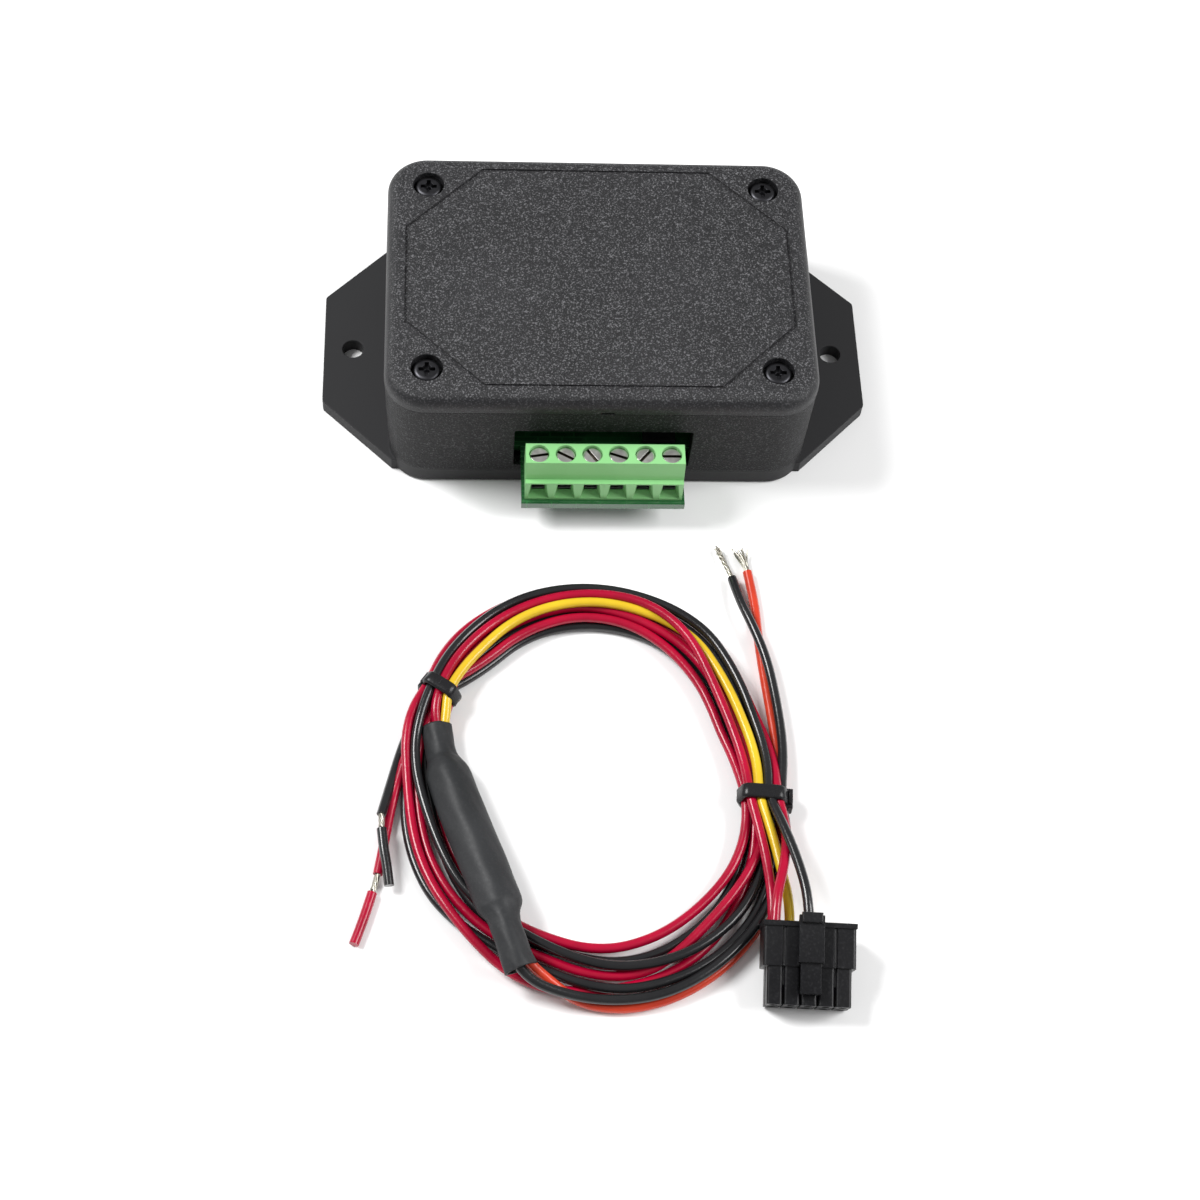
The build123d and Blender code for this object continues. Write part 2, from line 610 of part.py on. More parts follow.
def make_cable_tie(name, centre, turn, inner_width):
    """Ratchet tie: a flat band round the bundle with its head on the outer side."""
    band, band_width, inner_height = 0.9, 3.0, coil_height
    with BuildPart() as tie:
        with BuildSketch(Plane.XZ.offset(-band_width / 2)):
            with Locations((0, inner_height / 2 + band / 2)):
                RectangleRounded(inner_width + 2 * band, inner_height + band, 1.6)
                RectangleRounded(inner_width, inner_height - band, 1.1, mode=Mode.SUBTRACT)
        extrude(amount=band_width)
        with Locations((inner_width / 2 + band, 0, 2.4)):
            Box(1.8, 4.4, 3.4)
    save(Location((*centre, 0), (0, 0, turn)) * tie.part, name)


def make_harness():
    make_connector_housing()
    make_connector_latch()
    make_contact_sockets()
    for name, points in lead_routes.items():
        make_lead(name, points)
    make_wire_coil()
    make_sleeve()
    make_cable_tie("cable_tie_right", (29.1, -100.9), 0, 9.2)
    make_cable_tie("cable_tie_left", (-30.9, -78.6), 152, 8.6)
    make_rods("feed_strands", [((25.3, -53.0, 1.5), (23.5, -46.5, 1.0)),
                               ((28.7, -51.4, 1.2), (27.7, -46.8, 1.0))], strand_radius)
    make_rods("tail_strands", [((-41.1, -103.7, 2.9), (-41.0, -106.6, 3.3)),
                               ((-41.6, -114.5, 0.95), (-42.5, -118.0, 0.95))], strand_radius)
    make_rods("insulation_slug_black", [((-41.0, -106.6, 3.3), (-39.7, -117.0, 2.0))], wire_radius)
    make_rods("insulation_slug_red", [((-42.5, -118.0, 0.95), (-45.5, -127.7, 0.95))], wire_radius)


make_base_shell()
make_lid()
for number, (screw_x, screw_y) in enumerate(mirrored_pairs(boss_x, boss_y), start=1):
    make_lid_screw(number, screw_x, screw_y)
make_circuit_board()
make_board_screws()
make_terminal_housing()
for way in range(way_count):
    make_terminal_screw(way)
    make_clamp_cage(way)
make_terminal_pins()
make_board_components()
make_harness()
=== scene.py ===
import json
import math

import bmesh
import bpy
import numpy as np
from mathutils import Euler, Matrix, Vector


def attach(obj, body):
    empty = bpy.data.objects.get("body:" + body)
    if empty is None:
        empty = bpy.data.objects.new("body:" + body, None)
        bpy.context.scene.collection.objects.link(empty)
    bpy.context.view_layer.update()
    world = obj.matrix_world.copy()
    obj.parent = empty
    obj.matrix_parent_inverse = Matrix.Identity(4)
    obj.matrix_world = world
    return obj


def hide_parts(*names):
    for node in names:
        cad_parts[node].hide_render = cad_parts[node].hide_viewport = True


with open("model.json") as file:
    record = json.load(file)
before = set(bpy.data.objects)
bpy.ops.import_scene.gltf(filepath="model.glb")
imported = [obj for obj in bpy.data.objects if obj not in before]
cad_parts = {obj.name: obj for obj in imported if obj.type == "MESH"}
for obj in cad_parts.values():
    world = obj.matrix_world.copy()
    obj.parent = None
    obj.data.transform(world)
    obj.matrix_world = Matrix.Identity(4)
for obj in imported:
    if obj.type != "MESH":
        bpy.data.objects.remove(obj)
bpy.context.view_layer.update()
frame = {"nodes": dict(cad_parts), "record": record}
nodes = frame["nodes"]
MM = 0.001

# ------------------------------------------------------------------ camera
camera_data = bpy.data.cameras.new("camera")
camera_data.sensor_width = 36.0
camera_data.lens = 66.7
camera_data.clip_start, camera_data.clip_end = 0.01, 10.0
camera = bpy.data.objects.new("camera", camera_data)
camera.location = (-0.02863, -0.27373, 0.36808)
camera.rotation_euler = Euler([math.radians(a) for a in (30.52, -3.39, -1.76)])
bpy.context.scene.collection.objects.link(camera)
bpy.context.scene.camera = camera


# ------------------------------------------------------------------ materials
GRAIN_GLINT = (0.14, 0.14, 0.147)  # painted glint: colour that lightens the grain tips, standing for light glinting off their facets
SMOOTH_GAIN = 2.6  # how much lighter smooth plastic is than grained plastic
SLOT_SHADE = (0.07, 0.06, 0.05)  # painted shade at the bottom of a screw slot
SOLDER_MASK, MASK_ON_COPPER = (0.012, 0.07, 0.022), (0.022, 0.12, 0.036)
DULL_MASK = (0.01, 0.05, 0.02)


def new_material(name, **sockets):
    """A Principled material; keyword names are socket names with underscores for spaces."""
    material = bpy.data.materials.new(name)
    material.use_nodes = True
    shader = material.node_tree.nodes["Principled BSDF"]
    for key, value in sockets.items():
        shader.inputs[key.replace("_", " ")].default_value = value
    return material


def add(material, kind, **settings):
    node = material.node_tree.nodes.new(kind)
    for key, value in settings.items():
        if key in node.inputs:
            node.inputs[key].default_value = value
        else:
            setattr(node, key, value)
    return node


def join(material, out, into):
    material.node_tree.links.new(out, into)


def shader_of(material):
    return material.node_tree.nodes["Principled BSDF"]


def coordinates(material):
    return add(material, "ShaderNodeTexCoord").outputs["Object"]


def noise(material, scale, detail=2.0, roughness=0.5, vector=None):
    node = add(material, "ShaderNodeTexNoise", Scale=scale, Detail=detail, Roughness=roughness)
    join(material, vector or coordinates(material), node.inputs["Vector"])
    return node.outputs["Fac"]


def ramp(material, value, *stops):
    """A colour ramp; each stop is (position, colour or grey level)."""
    node = add(material, "ShaderNodeValToRGB")
    elements = node.color_ramp.elements
    while len(elements) < len(stops):
        elements.new(0.5)
    for element, (position, colour) in zip(elements, stops):
        element.position = position
        element.color = (colour, colour, colour, 1) if isinstance(colour, float) else (*colour, 1)
    join(material, value, node.inputs["Fac"])
    return node.outputs["Color"]


def span(material, value, low, high):
    """Spread a 0..1 value over low..high."""
    node = add(material, "ShaderNodeMapRange", clamp=True)
    node.inputs["To Min"].default_value = low
    node.inputs["To Max"].default_value = high
    join(material, value, node.inputs["Value"])
    return node.outputs["Result"]


def arithmetic(material, operation, a, b):
    node = add(material, "ShaderNodeMath", operation=operation)
    for value, socket in ((a, node.inputs[0]), (b, node.inputs[1])):
        if isinstance(value, (int, float)):
            socket.default_value = value
        else:
            join(material, value, socket)
    return node.outputs["Value"]


def blend_colours(material, factor, first, second):
    node = add(material, "ShaderNodeMix", data_type="RGBA")
    factor_in, first_in, second_in = node.inputs[0], node.inputs[6], node.inputs[7]
    for value, socket in ((factor, factor_in), (first, first_in), (second, second_in)):
        if isinstance(value, tuple):
            socket.default_value = (*value, 1)
        elif isinstance(value, float):
            socket.default_value = value
        else:
            join(material, value, socket)
    return node.outputs[2]


def bump(material, height, distance, strength=1.0, normal=None):
    node = add(material, "ShaderNodeBump", Strength=strength, Distance=distance)
    join(material, height, node.inputs["Height"])
    if normal:
        join(material, normal, node.inputs["Normal"])
    return node.outputs["Normal"]


def rise_along_z(material, vector, low, high, least=0.0):
    """Rises from least to 1 as the vector's Z goes from low to high."""
    parts = add(material, "ShaderNodeSeparateXYZ")
    join(material, vector, parts.inputs[0])
    node = add(material, "ShaderNodeMapRange", clamp=True)
    node.inputs["From Min"].default_value = low
    node.inputs["From Max"].default_value = high
    node.inputs["To Min"].default_value = least
    join(material, parts.outputs["Z"], node.inputs["Value"])
    return node.outputs["Result"]


def soft_edges(material, radius):
    return add(material, "ShaderNodeBevel", samples=4, Radius=radius).outputs["Normal"]


def moulded(name, dark, light, grain_size, grain_depth, roughness, speckle=0.0, edge=0.0002,
            smooth_below=0.0, shine=0.22, painted_side_shade=False):
    """Moulded plastic: spark-eroded grain, painted glints on the grain tips and slow tone changes.

    Below smooth_below the plastic is smooth and lighter. With the side-shade flag the grain and its
    painted glints are weaker where the surface turns down, which paints shade on the sides and
    rounded edges.
    """
    material = new_material(name, Specular_IOR_Level=shine)
    shader = shader_of(material)
    place = coordinates(material)
    fine = noise(material, 1 / grain_size, 3.0, 0.65, place)
    coarse = noise(material, 0.35 / grain_size, 2.0, 0.5, place)
    slow = noise(material, 45, 2.0, 0.5, place)
    tone = ramp(material, slow, (0.3, dark), (0.7, light))
    grain_and_side_shade = 1.0
    if smooth_below:
        grain_and_side_shade = rise_along_z(material, place, smooth_below, smooth_below + 0.001)
    # Painted shade: less grain and fewer glints where the surface faces away from the overhead
    # light, so the sides and rounded edges come out darker.
    if painted_side_shade:
        facing = add(material, "ShaderNodeNewGeometry").outputs["Normal"]
        grain_and_side_shade = rise_along_z(material, facing, 0.7, 0.97, least=0.3)
    # Painted glints: the grain tips are lightened in colour to stand for light glinting off them.
    if speckle:
        glint_spots = ramp(material, fine, (0.53, 0.0), (0.66, 1.0))
        amount = arithmetic(material, "MULTIPLY", glint_spots, speckle)
        amount = arithmetic(material, "MULTIPLY", amount, grain_and_side_shade)
        tone = blend_colours(material, amount, tone, GRAIN_GLINT)
    if smooth_below:
        tone = blend_colours(material, grain_and_side_shade, tuple(SMOOTH_GAIN * c for c in light), tone)
    join(material, tone, shader.inputs["Base Color"])
    join(material, span(material, fine, roughness - 0.13, roughness + 0.13),
         shader.inputs["Roughness"])
    height = arithmetic(material, "ADD", fine, arithmetic(material, "MULTIPLY", coarse, 0.6))
    height = arithmetic(material, "MULTIPLY", height, grain_and_side_shade)
    join(material, bump(material, height, grain_depth, 1.0, soft_edges(material, edge)),
         shader.inputs["Normal"])
    return material


def insulation(name, colour, dark):
    """Glossy PVC wire covering: slight waviness, faint handling marks and small tone changes."""
    material = new_material(name, Specular_IOR_Level=0.28, Coat_Weight=0.15, Coat_Roughness=0.12)
    shader = shader_of(material)
    place = coordinates(material)
    slow = noise(material, 140, 3.0, 0.55, place)
    marks = noise(material, 1500, 4.0, 0.7, place)
    tone = blend_colours(material, ramp(material, slow, (0.35, 0.0), (0.7, 1.0)), dark, colour)
    join(material, tone, shader.inputs["Base Color"])
    join(material, span(material, marks, 0.16, 0.32), shader.inputs["Roughness"])
    height = arithmetic(material, "ADD", arithmetic(material, "MULTIPLY", slow, 1.5), marks)
    join(material, bump(material, height, 0.00006, 0.6), shader.inputs["Normal"])
    return material


def metal(name, colour, roughness, scratch=0.00002, stretch=(1, 1, 1), shade_below=0.0):
    """Plated metal with brushed marks, slight dulling and, below a height, painted shade in the
    recess.
    """
    material = new_material(name, Metallic=1.0)
    shader = shader_of(material)
    mapping = add(material, "ShaderNodeMapping")
    mapping.inputs["Scale"].default_value = stretch
    join(material, coordinates(material), mapping.inputs["Vector"])
    marks = noise(material, 1800, 4.0, 0.6, mapping.outputs["Vector"])
    dull = noise(material, 300, 2.0, 0.5)
    tone = ramp(material, dull, (0.3, tuple(0.7 * c for c in colour)), (0.65, colour))
    if shade_below:
        # Painted shade: below this height, in the screw slot, the colour is darkened.
        deep = rise_along_z(material, coordinates(material), shade_below, shade_below - 0.0001)
        tone = blend_colours(material, deep, tone, SLOT_SHADE)
    join(material, tone, shader.inputs["Base Color"])
    join(material, span(material, marks, roughness - 0.08, roughness + 0.14),
         shader.inputs["Roughness"])
    join(material, bump(material, marks, scratch, 0.7, soft_edges(material, 0.0001)),
         shader.inputs["Normal"])
    return material


def board_green(name):
    """Solder mask: dark glossy green, lighter and raised over the copper tracks and pours."""
    material = new_material(name, Specular_IOR_Level=0.55, Coat_Weight=0.6, Coat_Roughness=0.08)
    shader = shader_of(material)
    place = coordinates(material)
    tracks = add(material, "ShaderNodeTexBrick", Scale=190.0)
    tracks.inputs["Mortar Size"].default_value = 0.035
    tracks.inputs["Brick Width"].default_value = 0.9
    tracks.inputs["Row Height"].default_value = 0.22
    for socket, level in (("Color1", 0), ("Color2", 0), ("Mortar", 1)):
        tracks.inputs[socket].default_value = (level, level, level, 1)
    join(material, place, tracks.inputs["Vector"])
    slow = noise(material, 220, 3.0, 0.6, place)
    pour = ramp(material, noise(material, 95, 0.0, 0.5, place), (0.49, 0.0), (0.5, 1.0))
    pour = arithmetic(material, "MULTIPLY", pour, 0.6)
    copper = arithmetic(material, "MAXIMUM", tracks.outputs["Color"], pour)
    tone = blend_colours(material, copper, SOLDER_MASK, MASK_ON_COPPER)
    tone = blend_colours(material, span(material, slow, 0.0, 0.25), tone, DULL_MASK)
    join(material, tone, shader.inputs["Base Color"])
    join(material, span(material, slow, 0.12, 0.3), shader.inputs["Roughness"])
    join(material, bump(material, copper, 0.00004, 0.8, soft_edges(material, 0.0001)),
         shader.inputs["Normal"])
    return material


case_plastic = moulded(
    "case_plastic", dark=(0.006, 0.006, 0.0065), light=(0.011, 0.011, 0.0115), grain_size=0.00036,
    grain_depth=0.00012, roughness=0.5, speckle=0.45, edge=0.0003, smooth_below=0.0035, shine=0.15)
lid_plastic = moulded(
    "lid_plastic", dark=(0.008, 0.008, 0.009), light=(0.012, 0.012, 0.0135), grain_size=0.00033,
    # The lid's sides and rounded edges get painted shade through the side-shade flag.
    grain_depth=0.00024, roughness=0.44, speckle=1.0, edge=0.0003, shine=0.3, painted_side_shade=True)
terminal_green = moulded(
    "terminal_green", dark=(0.18, 0.45, 0.165), light=(0.24, 0.53, 0.22), grain_size=0.0006,
    grain_depth=0.00001, roughness=0.4, edge=0.00015, shine=0.4)
plug_black = moulded(
    "plug_black", dark=(0.005, 0.005, 0.006), light=(0.011, 0.011, 0.012), grain_size=0.0005,
    grain_depth=0.00003, roughness=0.33, speckle=0.05, edge=0.00018, shine=0.2)
chip_black = moulded(
    "chip_black", dark=(0.012, 0.012, 0.013), light=(0.022, 0.022, 0.023), grain_size=0.0002,
    grain_depth=0.00002, roughness=0.6, speckle=0.2, edge=0.0001)
ceramic = moulded(
    "ceramic", dark=(0.20, 0.15, 0.09), light=(0.30, 0.23, 0.15), grain_size=0.0003,
    grain_depth=0.00001, roughness=0.5, edge=0.00008)
ferrite_grey = moulded(
    "ferrite_grey", dark=(0.03, 0.03, 0.032), light=(0.06, 0.06, 0.062), grain_size=0.00025,
    grain_depth=0.00003, roughness=0.7, speckle=0.3)
fuse_glass = moulded(
    "fuse_glass", dark=(0.55, 0.50, 0.38), light=(0.66, 0.61, 0.48), grain_size=0.0004,
    grain_depth=0.00001, roughness=0.25)
tie_black = moulded(
    "tie_black", dark=(0.010, 0.010, 0.011), light=(0.016, 0.016, 0.017), grain_size=0.0007,
    grain_depth=0.00003, roughness=0.26)
shrink_black = moulded(
    "shrink_black", dark=(0.013, 0.014, 0.015), light=(0.030, 0.031, 0.033), grain_size=0.0006,
    grain_depth=0.00003, roughness=0.5, speckle=0.04)
screw_black = metal("screw_black", (0.05, 0.05, 0.055), 0.38)
screw_nickel = metal("screw_nickel", (0.82, 0.80, 0.77), 0.36, scratch=0.000008, shade_below=0.0168)
cage_zinc = metal("cage_zinc", (0.62, 0.63, 0.66), 0.34, scratch=0.00003, stretch=(1, 1, 6))
steel = metal("steel", (0.66, 0.66, 0.66), 0.28)
tinned = metal("tinned", (0.74, 0.74, 0.73), 0.3)
strand_tin = metal("strand_tin", (0.46, 0.44, 0.38), 0.3, scratch=0.00001)
can_aluminium = metal("can_aluminium", (0.75, 0.76, 0.78), 0.25, scratch=0.00001, stretch=(1, 1, 9))
board = board_green("board")
red_pvc = insulation("red_pvc", (0.38, 0.001, 0.027), (0.28, 0.001, 0.020))
yellow_pvc = insulation("yellow_pvc", (0.66, 0.45, 0.020), (0.56, 0.37, 0.016))
orange_pvc = insulation("orange_pvc", (0.58, 0.050, 0.020), (0.46, 0.036, 0.016))
black_pvc = insulation("black_pvc", (0.013, 0.013, 0.014), (0.009, 0.009, 0.010))
shader_of(black_pvc).inputs["Coat Weight"].default_value = 0.35

slot_materials = {
    "case_plastic": case_plastic, "lid_plastic": lid_plastic, "black_screw": screw_black,
    "circuit_board": board, "plated_steel": steel, "green_plastic": terminal_green,
    "nickel_plated_screw": screw_nickel, "zinc_plated_cage": cage_zinc, "tinned_metal": tinned,
    "chip_plastic": chip_black, "chip_ceramic": ceramic, "capacitor_can": can_aluminium,
    "ferrite": ferrite_grey, "plug_plastic": plug_black, "contact_tin": tinned,
    "wire_red": red_pvc, "wire_yellow": yellow_pvc, "wire_black": black_pvc,
    "wire_orange": orange_pvc, "tinned_copper": strand_tin, "heat_shrink": shrink_black,
    "fuse_body": fuse_glass, "tie_nylon": tie_black,
}


def dress(node, material):
    mesh = node.data
    mesh.materials.clear()
    mesh.materials.append(material)


for part in frame["record"]["subparts"]:
    dress(nodes[part["node"]], slot_materials[part["material_slot"]])

# ------------------------------------------------------------------ coil of wire
WIRE = 0.9  # radius; all the coil's sizes are in mm
COIL_X, COIL_Y = -3.0, -98.0  # the coil's middle
STEP = 10  # degrees between the coil's sections
FIRST = -5  # the right-hand tie
LOW = 0.95  # height of a wire's middle on the floor
TIE_RIGHT, TIE_LEFT = -5, 145

# Each pass is (degrees, distance from the coil's middle, height) in mm; 355 is the right tie again.
over_top = {
    "black_outer": [
        (-5, 31.9, 4.97), (8, 31.9, 3.2), (25, 32.6, 2.7), (42, 35.6, 2.6), (57, 39.2, 2.7),
        (75, 41.0, 2.7), (92, 41.8, 2.7), (110, 41.2, 2.7), (128, 38.6, 2.8), (145, 35.5, 4.97),
    ],
    "black_second": [
        (-5, 31.6, 3.41), (25, 31.4, 1.3), (42, 34.6, 1.0), (57, 38.0, LOW), (75, 39.8, LOW),
        (92, 40.8, LOW), (110, 39.9, LOW), (128, 37.8, LOW), (145, 35.5, 1.85),
    ],
    "black_middle": [
        (-5, 30.3, 1.85), (25, 29.8, LOW), (42, 32.6, LOW), (57, 35.0, LOW), (75, 37.0, LOW),
        (92, 37.4, LOW), (110, 36.4, LOW), (128, 34.6, LOW), (145, 32.1, 1.85),
    ],
    "black_inner": [
        (-5, 28.6, 1.85), (25, 28.4, LOW), (42, 30.4, LOW), (57, 33.0, LOW), (75, 34.9, LOW),
        (92, 35.2, LOW), (110, 34.7, LOW), (128, 32.9, LOW), (145, 33.8, 1.85),
    ],
    "red_outer": [
        (-5, 33.6, 4.97), (8, 34.2, 2.7), (25, 34.4, 1.6), (42, 36.8, 1.2), (57, 39.8, LOW),
        (75, 41.6, LOW), (92, 42.5, LOW), (110, 41.9, LOW), (128, 40.2, 1.1), (145, 36.4, 3.41),
    ],
    "red_bright": [
        (-5, 28.5, 4.97), (8, 28.4, 3.2), (25, 28.8, 3.0), (42, 31.0, 3.5), (57, 35.3, 3.9),
        (72, 38.9, 3.3), (92, 39.8, 2.7), (110, 38.7, 2.7), (128, 36.4, 3.0), (145, 33.8, 4.97),
    ],
    "red_dark": [
        (-5, 28.0, 3.41), (25, 27.2, 2.2), (42, 29.6, 2.3), (57, 32.2, 2.4), (75, 35.4, 2.4),
        (92, 36.3, 2.4), (110, 35.0, 2.4), (128, 33.2, 2.5), (145, 34.7, 3.41),
    ],
    "red_under": [
        (-5, 32.0, 1.85), (25, 31.6, LOW), (42, 34.2, LOW), (57, 36.8, LOW), (75, 38.6, LOW),
        (92, 39.1, LOW), (110, 38.1, LOW), (128, 36.3, LOW), (145, 31.3, 3.41),
    ],
    "red_hidden": [
        (-5, 29.8, 3.41), (25, 30.2, 1.9), (42, 32.0, 1.9), (57, 34.4, 1.6), (75, 36.4, 1.4),
        (92, 38.0, 1.3), (110, 37.0, 1.2), (128, 35.4, 1.6), (145, 33.0, 3.41),
    ],
    "yellow": [
        (-5, 30.2, 4.97), (8, 30.5, 3.2), (25, 31.1, 2.8), (42, 33.6, 2.2), (57, 36.9, 2.1),
        (75, 37.8, 2.4), (92, 37.9, 2.6), (110, 36.8, 2.6), (128, 34.0, 2.8), (145, 32.1, 4.97),
    ],
}
under_bottom = {
    "black_over": [
        (158, 34.2, 4.0), (168, 33.5, 3.0), (179, 31.9, 3.0), (190, 30.7, 2.9), (202, 30.3, 2.8),
        (214, 30.7, 2.7), (226, 31.0, 2.7), (240, 31.3, 2.7), (252, 32.2, 2.7), (262, 33.5, 2.7),
        (273, 35.2, 2.7), (285, 36.0, 2.7), (297, 36.3, 2.7), (309, 35.9, 2.7), (321, 35.3, 2.7),
        (333, 33.6, 2.4), (345, 31.4, 1.4), (355, 30.3, 1.85),
    ],
    "black_inside": [
        (158, 32.2, LOW), (170, 31.2, LOW), (180, 29.9, 1.2), (190, 29.3, 1.6), (202, 29.5, 1.6),
        (214, 30.3, 1.3), (226, 31.2, LOW), (238, 31.8, LOW), (250, 31.4, LOW), (262, 32.2, LOW),
        (276, 33.7, LOW), (288, 33.8, LOW), (301, 33.1, LOW), (314, 32.2, LOW), (327, 30.8, LOW),
        (341, 29.4, LOW), (355, 28.6, 1.85),
    ],
    "black_outside": [
        (158, 33.9, LOW), (169, 34.3, LOW), (179, 34.7, LOW), (189, 35.0, LOW), (198, 35.4, LOW),
        (208, 35.8, LOW), (219, 36.2, LOW), (231, 35.6, LOW), (241, 35.7, LOW), (253, 36.2, LOW),
        (264, 37.8, 1.2), (274, 39.1, 1.3), (287, 39.4, 1.3), (298, 39.3, 1.3), (309, 38.8, 1.3),
        (320, 37.7, 1.4), (333, 35.8, 1.5), (345, 33.6, 2.0), (355, 31.6, 3.41),
    ],
    "red_left": [
        (158, 35.8, 3.6), (169, 34.2, 2.9), (179, 33.2, 1.8), (190, 33.3, 1.9), (202, 33.9, 2.0),
        (213, 34.6, 2.3), (224, 35.4, 2.6), (234, 36.6, 2.6), (244, 38.2, 2.0), (256, 38.9, LOW),
        (270, 38.2, LOW), (284, 37.6, LOW), (297, 36.8, LOW), (309, 35.5, 1.0), (320, 33.9, 1.1),
        (332, 32.6, 1.5), (344, 31.0, 2.0), (355, 29.8, 3.41),
    ],
    "red_middle": [
        (158, 33.0, 2.5), (170, 33.0, LOW), (180, 32.2, LOW), (192, 32.1, LOW), (204, 32.5, LOW),
        (216, 32.9, LOW), (228, 33.3, LOW), (240, 33.7, LOW), (251, 33.8, LOW), (262, 35.4, LOW),
        (275, 37.0, LOW), (286, 37.0, LOW), (294, 35.4, LOW), (303, 33.9, 1.4), (315, 33.0, 2.0),
        (330, 32.7, 2.2), (343, 32.4, 1.6), (355, 32.0, 1.85),
    ],
    "red_inside": [
        (158, 30.9, 1.3), (170, 30.2, 1.3), (180, 28.9, 1.0), (192, 28.7, LOW), (208, 28.9, LOW),
        (220, 29.5, LOW), (234, 30.2, LOW), (247, 30.8, 1.6), (259, 31.3, 1.8), (270, 31.8, 1.6),
        (283, 31.3, 1.4), (298, 30.5, 1.3), (310, 29.9, 1.4), (322, 29.9, 1.9), (335, 29.6, 2.4),
        (348, 28.8, 2.7), (355, 28.0, 3.41),
    ],
}


def follow(passes):
    """One wire's passes end to end, with a full turn added to the angle at each return."""
    stations = []
    turn = 0
    for table, key in passes:
        source = over_top if table == "top" else under_bottom
        stations += [(angle + 360 * turn, distance, height)
                     for angle, distance, height in source[key]]
        if table == "bottom":
            stations.pop()  # the right tie opens the next pass
            turn += 1
    return stations


def interpolate(stations, angle):
    """Smooth curve through the stations, with slopes taken from their neighbours."""
    angles = [s[0] for s in stations]
    i = max(0, min(len(stations) - 2, int(np.searchsorted(angles, angle)) - 1))

    def slope(j, axis):
        before, after = max(0, j - 1), min(len(stations) - 1, j + 1)
        return (stations[after][axis] - stations[before][axis]) / (angles[after] - angles[before])

    width = angles[i + 1] - angles[i]
    t = (angle - angles[i]) / width
    result = []
    for axis in (1, 2):
        a, b = stations[i][axis], stations[i + 1][axis]
        ma, mb = slope(i, axis) * width, slope(i + 1, axis) * width
        result.append((2 * t**3 - 3 * t**2 + 1) * a + (t**3 - 2 * t**2 + t) * ma
                      + (3 * t**2 - 2 * t**3) * b + (t**3 - t**2) * mb)
    return result


wire_passes = {
    "black": follow([
        ("top", "black_outer"), ("bottom", "black_over"), ("top", "black_middle"),
        ("bottom", "black_inside"), ("top", "black_inner"), ("bottom", "black_outside"),
        ("top", "black_second"),
    ]),
    "crimson": follow([
        ("top", "red_outer"), ("bottom", "red_left"), ("top", "red_hidden"),
        ("bottom", "red_middle"), ("top", "red_under"), ("bottom", "red_inside"),
        ("top", "red_dark"),
    ]),
    "crimson_fused": follow([("top", "red_bright")]),
    "yellow": follow([("top", "yellow")]),
    "feed_black": [
        (262, 40.6, 3.4), (275, 41.3, 2.7), (286, 41.5, 2.5), (296, 40.9, 2.5), (306, 40.0, 2.5),
        (316, 39.2, 2.4), (326, 38.3, 2.4), (336, 37.3, 2.5), (346, 36.0, 2.8), (355, 34.4, 3.41),
    ],
    "feed_orange": [
        (262, 40.6, 1.8), (270, 42.0, 1.0), (283, 42.4, LOW), (293, 41.9, LOW), (303, 41.1, LOW),
        (314, 39.9, LOW), (325, 38.8, LOW), (336, 37.6, LOW), (346, 35.5, 1.2), (355, 33.7, 1.85),
    ],
}

# The stretches before and after the coil, point by point in mm.
lead_in = {
    "crimson_fused": [
        (27.77, -127.84, 4.57), (28.09, -122.53, 5.94), (27.7, -114.0, 5.0), (26.6, -106.8, 4.9),
    ],
    "crimson": [
        (27.73, -128.62, 7.57), (28.04, -123.3, 8.94), (30.3, -116.0, 7.4), (31.7, -108.5, 5.2),
    ],
    "yellow": [
        (30.77, -128.02, 4.57), (31.08, -122.71, 5.94), (30.2, -115.8, 4.7), (28.9, -108.0, 4.8),
    ],
    "black": [
        (33.72, -128.97, 7.57), (34.03, -123.66, 8.94), (32.9, -116.0, 8.2), (31.0, -108.5, 7.0),
    ],
    "feed_black": [
        (-19.6, -126.0, 7.0), (-18.6, -130.6, 6.9), (-16.9, -134.2, 6.4), (-13.6, -137.0, 5.2),
    ],
    "feed_orange": [
        (-18.4, -125.6, 6.6), (-17.2, -130.2, 6.4), (-14.9, -133.4, 5.4), (-11.0, -136.2, 3.6),
    ],
}
lead_out = {
    "crimson_fused": [(-31.6, -83.2, 4.2), (-31.0, -87.0, 3.3), (-30.4, -91.5, 3.2)],
    "yellow": [(-29.9, -83.4, 4.1), (-30.0, -87.2, 3.4), (-29.6, -91.5, 3.4)],
    "black": [
        (-35.0, -83.0, 1.0), (-37.3, -89.4, 0.95), (-39.5, -96.6, 1.5), (-41.1, -103.7, 2.9),
    ],
    "crimson": [
        (-33.8, -82.0, 2.8), (-35.8, -87.4, 1.7), (-37.9, -93.8, 0.95), (-39.7, -101.0, 0.95),
        (-40.5, -108.0, 0.95), (-41.6, -114.5, 0.95),
    ],
    "feed_black": [
        (32.5, -91.0, 2.7), (32.0, -81.0, 2.5), (30.8, -71.5, 2.6), (28.6, -64.4, 2.9),
        (26.5, -58.4, 2.4), (25.5, -53.0, 1.5),
    ],
    "feed_orange": [
        (31.7, -91.0, 0.95), (31.0, -82.0, 0.95), (30.2, -73.0, 0.95), (29.7, -65.0, 0.95),
        (29.6, -58.0, 0.95), (28.6, -51.4, 1.2),
    ],
}

STRAP = 0.9  # how much a tie's strap lifts the wires that lie on it
STRAP_REACH = 13  # how far from the tie that lift fades out
ON_STRAP = LOW + 0.89  # a point that must lie higher than this is in a tie


def lowest(place):
    """How low a wire may lie: on the floor, or on the strap of a cable tie."""
    radians = math.atan2(place[1] - COIL_Y, place[0] - COIL_X)
    reach = math.hypot(place[0] - COIL_X, place[1] - COIL_Y)
    away = min(abs(math.remainder(radians - math.radians(tie), 2 * math.pi))
               for tie in (TIE_RIGHT, TIE_LEFT))
    return LOW + STRAP * max(0.0, 1 - away * reach / STRAP_REACH)


